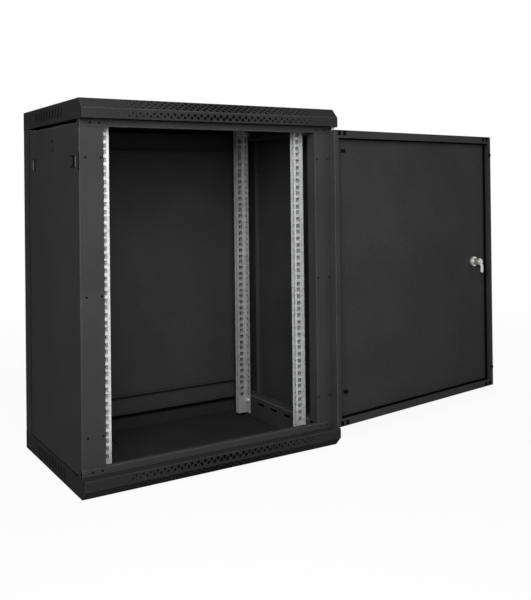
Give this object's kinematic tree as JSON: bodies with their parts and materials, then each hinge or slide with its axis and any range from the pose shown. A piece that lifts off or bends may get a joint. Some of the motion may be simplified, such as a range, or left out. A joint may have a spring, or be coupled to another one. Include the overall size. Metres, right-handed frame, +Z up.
{
  "type": "network rack cabinet",
  "caption": "Black steel network rack cabinet with an open front door, square-hole mounting rails, removable side panels and vented covers.",
  "frame": {"origin": "middle of the flat underside of the base", "axes": "+Z up, the front opening and the closed door face -Y, +X towards the hinge side"},
  "size_m": [1.1808, 0.4065, 0.77],
  "materials": {
    "powder_coat": "fine-textured black powder coat",
    "zinc": "bright zinc plate",
    "nickel": "bright nickel",
    "rubber": "matte black",
    "black_plastic": "moulded black"
  },
  "bodies": {
    "cabinet": {"bottom_cover": "powder_coat", "top_cover": "powder_coat", "bottom_cable_plate": "powder_coat", "top_cable_plate": "powder_coat", "fan_blank_plate": "powder_coat", "front_bottom_crossbar": "powder_coat", "front_top_crossbar": "powder_coat", "front_left_pillar": "powder_coat", "front_right_pillar": "powder_coat", "rear_left_post": "powder_coat", "rear_right_post": "powder_coat", "rear_bottom_crossbar": "powder_coat", "rear_top_crossbar": "powder_coat", "rear_panel": "powder_coat", "left_lower_beam": "powder_coat", "left_upper_beam": "powder_coat", "right_lower_beam": "powder_coat", "right_upper_beam": "powder_coat", "front_left_rail": "zinc", "front_right_rail": "zinc", "rear_left_rail": "zinc", "rear_right_rail": "zinc", "front_left_lower_bolt": "zinc", "front_left_upper_bolt": "zinc", "front_right_lower_bolt": "zinc", "front_right_upper_bolt": "zinc", "rear_left_lower_bolt": "zinc", "rear_left_upper_bolt": "zinc", "rear_right_lower_bolt": "zinc", "rear_right_upper_bolt": "zinc", "bottom_hinge_plate": "zinc", "top_hinge_plate": "zinc", "bottom_hinge_pin": "zinc", "top_hinge_pin": "zinc"},
    "door": {"door_shell": "powder_coat", "lower_door_bumper": "rubber", "upper_door_bumper": "rubber", "lower_door_pad": "rubber", "upper_door_pad": "rubber", "lock_barrel": "nickel", "lock_nut": "nickel"},
    "lock": {"lock_core": "nickel", "lock_cam": "zinc", "cam_screw": "zinc"},
    "left_panel": {"left_side_panel": "powder_coat", "left_side_cap": "powder_coat"},
    "right_panel": {"right_side_panel": "powder_coat", "right_side_cap": "powder_coat"},
    "left_front_slider": {"left_front_latch": "black_plastic"},
    "left_rear_slider": {"left_rear_latch": "black_plastic"},
    "right_front_slider": {"right_front_latch": "black_plastic"},
    "right_rear_slider": {"right_rear_latch": "black_plastic"}
  },
  "joints": [
    {"name": "door_swing", "type": "hinge", "parent": "cabinet", "child": "door", "pos_m": [0.2935, -0.194, 0.385], "axis": [0, 0, 1], "range_deg": [-188, 0]},
    {"name": "lock_turn", "type": "hinge", "parent": "door", "child": "lock", "pos_m": [0.81461, -0.11167, 0.385], "axis": [0.1392, -0.9903, 0], "range_deg": [0, 90]},
    {"name": "left_panel_pull", "type": "slide", "parent": "cabinet", "child": "left_panel", "axis": [-1, 0, 0], "range_m": [0, 0.012]},
    {"name": "right_panel_pull", "type": "slide", "parent": "cabinet", "child": "right_panel", "axis": [1, 0, 0], "range_m": [0, 0.012]},
    {"name": "left_front_latch_slide", "type": "slide", "parent": "left_panel", "child": "left_front_slider", "axis": [0, -1, 0], "range_m": [0, 0.006]},
    {"name": "left_rear_latch_slide", "type": "slide", "parent": "left_panel", "child": "left_rear_slider", "axis": [0, 1, 0], "range_m": [0, 0.006]},
    {"name": "right_front_latch_slide", "type": "slide", "parent": "right_panel", "child": "right_front_slider", "axis": [0, -1, 0], "range_m": [0, 0.006]},
    {"name": "right_rear_latch_slide", "type": "slide", "parent": "right_panel", "child": "right_rear_slider", "axis": [0, 1, 0], "range_m": [0, 0.006]}
  ]
}
